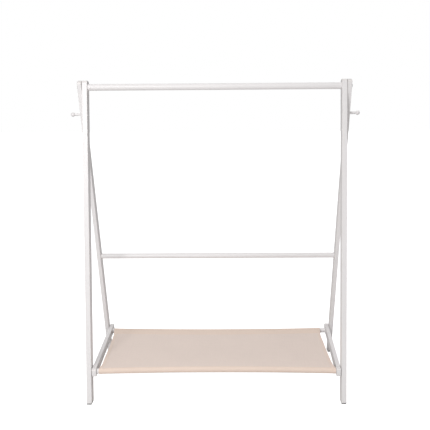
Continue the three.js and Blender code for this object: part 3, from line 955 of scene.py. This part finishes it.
def columnPlaces():   # (kind, distance): hems in true distances, the middle in shares
    hem = canvas["hemWidth"]
    edge = [0, 0.5 * mm, 1.5 * mm, 3.5 * mm, 7 * mm, 11 * mm, hem - 2.2 * mm, hem - 1.0 * mm, hem - 0.3 * mm,
            hem + 0.5 * mm, hem + 2 * mm]
    middle = [("middle", i / canvas["columns"]) for i in range(1, canvas["columns"])]
    return [("left", d) for d in edge] + middle + [("right", d) for d in reversed(edge)]


def alongSide(line, share):
    for (nearShare, near), (farShare, far) in zip(line, line[1:]):
        if share <= farShare:
            step = max(0, share - nearShare) / (farShare - nearShare)
            step = 0.5 * step + 0.5 * step * step * (3 - 2 * step)
            return near + (far - near) * step
    return line[-1][1]


def sidesAt(share):
    left, right = alongSide(canvas["leftSide"], share), alongSide(canvas["rightSide"], share)
    return clothLow.x + left, clothHigh.x + right


def columnX(column, share):
    kind, value = column
    left, right = sidesAt(share)
    inset = canvas["hemWidth"] + 4 * mm
    if kind == "left":
        return left + value
    if kind == "right":
        return right - value
    return left + inset + (right - left - 2 * inset) * value


def makeCanvas():
    loop, sheetSteps, columns = loopRows(), sheetRows(), columnPlaces()
    plan = [("frontLoop", step) for step in loop] + sheetSteps
    plan += [("rearLoop", step) for step in reversed(loop)]
    past = canvas["seamSetback"] + 9 * mm
    grid, hemWeights, paintedLightMarks = [], [], []
    for kind, value in plan:
        points, weights, marks = [], [], []
        for column in columns:
            if kind == "between":
                share = (past + value * (clothSpan - 2 * past)) / clothSpan
            else:
                share = (value[0] * value[2] if kind.endswith("Loop") else value) / clothSpan
                share = share if kind.startswith("front") else 1 - share
            x = columnX(column, share)
            front, rear = rodsAt(x)
            span = rear - front
            hem = column[0] != "middle" and column[1] <= canvas["hemWidth"] - 0.2 * mm
            aroundRod = kind.endswith("Loop")
            if aroundRod:
                inwards, up, keeps = value
                y = front + inwards if kind == "frontLoop" else rear - inwards
                beside = max(inwards, canvas["seamSetback"])
                ends = (beside, span - beside) if kind == "frontLoop" else (span - beside, beside)
                above = sheetHeight(x, *ends, ends[0] / span) - canvas["loopRadius"]
                z = up + keeps * (above + canvas["layerGap"] - layerGap(hem))
            else:
                fromFront = {"front": value, "rear": span - value}.get(kind, past + value * (span - 2 * past))
                y = front + fromFront
                z = sheetHeight(x, fromFront, span - fromFront, fromFront / span)
            points.append(Vector((x, y, barMiddle + z)))
            weights.append(1.0 if hem else 0.0)
            # partly painted light: the warm tint covers the whole rear tunnel but only 4 mm past the front
            # rod, so it does not follow the real doubling alone; hems get 0.55 of it
            doubledPaintedLight = aroundRod or y - front < 4 * mm or rear - y < canvas["seamSetback"] + 0.5 * mm
            paintedWarmth = 1.0 if doubledPaintedLight else 0.0
            marks.append(max(paintedWarmth, 0.55 if hem else 0.0))
        grid.append(points)
        hemWeights.append(weights)
        paintedLightMarks.append(marks)
    width = len(columns)
    middleColumn = width // 2
    lengths = [0.0]
    for near, far in zip(grid, grid[1:]):
        lengths.append(lengths[-1] + (far[middleColumn] - near[middleColumn]).length)
    mesh = bpy.data.meshes.new("shelfCanvas")
    faces = [(r * width + c, r * width + c + 1, (r + 1) * width + c + 1, (r + 1) * width + c)
             for r in range(len(grid) - 1) for c in range(width - 1)]
    mesh.from_pydata([p for row in grid for p in row], [], faces)
    uv = mesh.uv_layers.new(name="cloth")
    for face in mesh.polygons:
        for corner in face.loop_indices:
            vertex = mesh.loops[corner].vertex_index
            uv.data[corner].uv = (grid[vertex // width][vertex % width].x, lengths[vertex // width])
    marked = mesh.attributes.new("doubledPaintedLight", "FLOAT", "POINT")
    marked.data.foreach_set("value", [m for row in paintedLightMarks for m in row])
    piece = linked("shelfCanvas", mesh)
    hemGroup = piece.vertex_groups.new(name="hem")
    flat = [w for row in hemWeights for w in row]
    hemGroup.add([i for i, w in enumerate(flat) if w > 0], 1.0, "REPLACE")
    solid = piece.modifiers.new("cloth thickness", "SOLIDIFY")
    solid.thickness = canvas["hemThickness"]
    solid.offset = 0
    solid.vertex_group = "hem"
    solid.thickness_vertex_group = canvas["thickness"] / canvas["hemThickness"]
    solid.use_even_offset = True
    baked(piece)
    piece.data.shade_smooth()
    piece.data.set_sharp_from_angle(angle=math.radians(50))
    return piece, lengths[-1] + 2 * canvas["turnedIn"]


canvasPiece, clothLength = makeCanvas()
finished(canvasPiece, beigeCanvas, "shelf", "canvas", "shelf_canvas")
print("canvas made, cut length", round(clothLength, 3))

# Stitching, by Geometry Nodes

stitch = {"pitch": 3.4 * mm, "length": 2.7 * mm, "thread": 0.55 * mm, "wander": 0.12, "seed": 5}


def stitchTree():
    tree, given, sockets = nodesTree("lockStitches", [
        ("Pitch", "Float", 0.0034), ("Stitch Length", "Float", 0.0027), ("Thread", "Float", 0.0005),
        ("Wander", "Float", 0.1), ("Seed", "Int", 5)])
    thread, wander = given["Thread"], given["Wander"]
    curve = newNode(tree, "GeometryNodeMeshToCurve", {0: given["Geometry"]})
    even = newNode(tree, "GeometryNodeResampleCurve", {0: curve.outputs[0], "Length": given["Pitch"]},
                   mode="LENGTH")
    tangent = newNode(tree, "GeometryNodeInputTangent")
    facing = newNode(tree, "FunctionNodeAlignRotationToVector", {"Vector": tangent.outputs[0]}, axis="X")
    low = times(tree, wander, -1)
    wobble = newNode(tree, "FunctionNodeRandomValue", {
        0: vectorOf(tree, 0, low, low), 1: vectorOf(tree, 0, wander, wander), "Seed": given["Seed"],
    }, data_type="FLOAT_VECTOR")
    wobbled = newNode(tree, "FunctionNodeRotateRotation", {
        0: facing.outputs[0], 1: wobble.outputs[0]}, rotation_space="LOCAL")
    bead = newNode(tree, "GeometryNodeMeshUVSphere", {"Segments": 7, "Rings": 5, "Radius": 0.5})
    laid = moved(tree, bead.outputs[0], rotation=(0, quarter, 0))
    shaped = moved(tree, laid, scale=vectorOf(tree, given["Stitch Length"], thread, thread))
    smooth = newNode(tree, "GeometryNodeSetShadeSmooth", {0: shaped})
    madeReal(tree, given, newNode(tree, "GeometryNodeInstanceOnPoints", {
        "Points": even.outputs[0], "Instance": smooth.outputs[0], "Rotation": wobbled.outputs[0]}))
    return tree, sockets


def seamLines():
    hemLift = canvas["hemThickness"] / 2 + 0.1 * mm
    back = canvas["seamSetback"]
    lines = []
    steps = 160
    for above in (1, -1):
        for end in ("front", "rear"):
            line = []
            for i in range(steps + 1):
                share = back / canvas["seamSpan"] if end == "front" else 1 - back / canvas["seamSpan"]
                left, right = sidesAt(share)
                x = left + 2 * mm + (right - left - 4 * mm) * i / steps
                front, rear = rodsAt(x)
                fromFront = back if end == "front" else rear - front - back
                z = sheetHeight(x, fromFront, rear - front - fromFront, fromFront / (rear - front))
                hem = min(x - left, right - x) < canvas["hemWidth"]
                lift = canvas["hemThickness" if hem else "thickness"] / 2 + 0.1 * mm
                z += lift if above > 0 else -lift - layerGap(hem)
                line.append((x, front + fromFront, barMiddle + z))
            lines.append(line)
        for side in (0, 1):
            line = []
            for i in range(steps + 1):
                share = i / steps
                inset = canvas["hemWidth"] - 2.4 * mm
                x = sidesAt(share)[side] + (inset if side == 0 else -inset)
                front, rear = rodsAt(x)
                fromFront = share * (rear - front)
                reach = back + canvas["allowance"]
                if above < 0 and not reach < fromFront < rear - front - reach:
                    continue
                z = sheetHeight(x, fromFront, rear - front - fromFront, share) + above * hemLift
                line.append((x, front + fromFront, barMiddle + z))
            lines.append(line)
    return lines


def makeStitches():
    verts, edges = [], []
    for line in seamLines():
        start = len(verts)
        verts += line
        edges += [(start + i, start + i + 1) for i in range(len(line) - 1)]
    mesh = bpy.data.meshes.new("canvasStitches")
    mesh.from_pydata(verts, edges, [])
    piece = linked("canvasStitches", mesh)
    tree, sockets = stitchTree()
    throughNodes(piece, tree, sockets, {
        "Pitch": stitch["pitch"], "Stitch Length": stitch["length"], "Thread": stitch["thread"],
        "Wander": stitch["wander"], "Seed": stitch["seed"], "Material": sewingThread})
    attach(piece, "shelf")
    return piece


stitches = makeStitches()
print("stitches made,", len(stitches.data.polygons), "faces")

# Studio

studio = {
    "keyPlace": (-1.1, -3.2, 2.4),
    "keyAim": (-0.2, 0.0, 1.0),
    "keySize": 1.4,
    "keyPower": 65,
    "skyLow": 0.14,             # strength of the soft light from the horizon and from straight above
    "skyHigh": 0.90,
    "floorGlow": 0.9,
    "floorTone": 0.72,
    "floorSide": 40.0,
}
camera = {
    "place": (0.0897, -2.5641, 1.4220),
    "pitch": math.radians(12.46),
    "yaw": math.radians(-0.52),
    "roll": math.radians(-0.40),
    "lens": 44.79,
    "sensor": 36,
    "shift": -0.0340,
}


def makeCamera():
    data = bpy.data.cameras.new("camera")
    data.sensor_width = camera["sensor"]
    data.lens = camera["lens"]
    data.shift_x = camera["shift"]
    eye = linked("camera", data)
    yaw, pitch, roll = camera["yaw"], camera["pitch"], camera["roll"]
    ahead = Vector((math.sin(yaw) * math.cos(pitch), math.cos(yaw) * math.cos(pitch), -math.sin(pitch)))
    right = Vector((math.cos(yaw), -math.sin(yaw), 0))
    up = right.cross(ahead)
    across = right * math.cos(roll) + up * math.sin(roll)
    upward = up * math.cos(roll) - right * math.sin(roll)
    turn = Matrix((across, upward, -ahead)).transposed().to_4x4()
    eye.matrix_world = Matrix.Translation(camera["place"]) @ turn
    bpy.context.scene.camera = eye


def makeLight():
    data = bpy.data.lights.new("softKey", "AREA")
    data.shape = "SQUARE"
    data.size = studio["keySize"]
    data.energy = studio["keyPower"]
    lamp = linked("softKey", data)
    place = Vector(studio["keyPlace"])
    lamp.location = place
    lamp.rotation_mode = "QUATERNION"
    lamp.rotation_quaternion = (Vector(studio["keyAim"]) - place).to_track_quat("-Z", "Y")


def makeWorld():   # white behind the rack, and a soft light that grows towards straight above
    world = bpy.data.worlds.new("studio")
    bpy.context.scene.world = world
    world.use_nodes = True
    tree = world.node_tree
    tree.nodes.clear()
    direction = newNode(tree, "ShaderNodeTexCoord").outputs["Generated"]
    height = newNode(tree, "ShaderNodeSeparateXYZ", {0: direction}).outputs[2]
    sky = spread(tree, height, 0.0, 1.0, studio["skyLow"], studio["skyHigh"])
    felt = newNode(tree, "ShaderNodeBackground", {"Color": (1, 1, 1, 1), "Strength": sky})
    seen = newNode(tree, "ShaderNodeBackground", {"Color": (1, 1, 1, 1), "Strength": 1.0})
    newNode(tree, "ShaderNodeOutputWorld", {"Surface": forCamera(tree, felt, seen)})


def forCamera(tree, others, seen):   # what the camera sees directly can differ from what lights the rest
    wires = {0: newNode(tree, "ShaderNodeLightPath").outputs["Is Camera Ray"],
             1: others.outputs[0], 2: seen.outputs[0]}
    return newNode(tree, "ShaderNodeMixShader", wires).outputs[0]


def makeFloor():
    half = studio["floorSide"] / 2
    mesh = bpy.data.meshes.new("floor")
    corners = [(-half, -half, 0), (half, -half, 0), (half, half, 0), (-half, half, 0)]
    mesh.from_pydata(corners, [], [(0, 1, 2, 3)])
    floor = linked("floor", mesh)
    material, tree, shader = newMaterial("paleFloor")
    wire(tree, shader, {
        "Base Color": (*[studio["floorTone"]] * 3, 1), "Roughness": 0.9, "Specular IOR Level": 0.1})
    glow = newNode(tree, "ShaderNodeEmission", {"Strength": studio["floorGlow"]})
    both = newNode(tree, "ShaderNodeAddShader", {0: shader.outputs[0], 1: glow.outputs[0]})
    output = next(n for n in tree.nodes if n.type == "OUTPUT_MATERIAL")
    wire(tree, output, {"Surface": forCamera(tree, shader, both)})
    mesh.materials.append(material)


makeCamera()
makeLight()
makeWorld()
makeFloor()
bpy.context.scene.view_settings.view_transform = "Standard"
print("camera, lights and floor made")
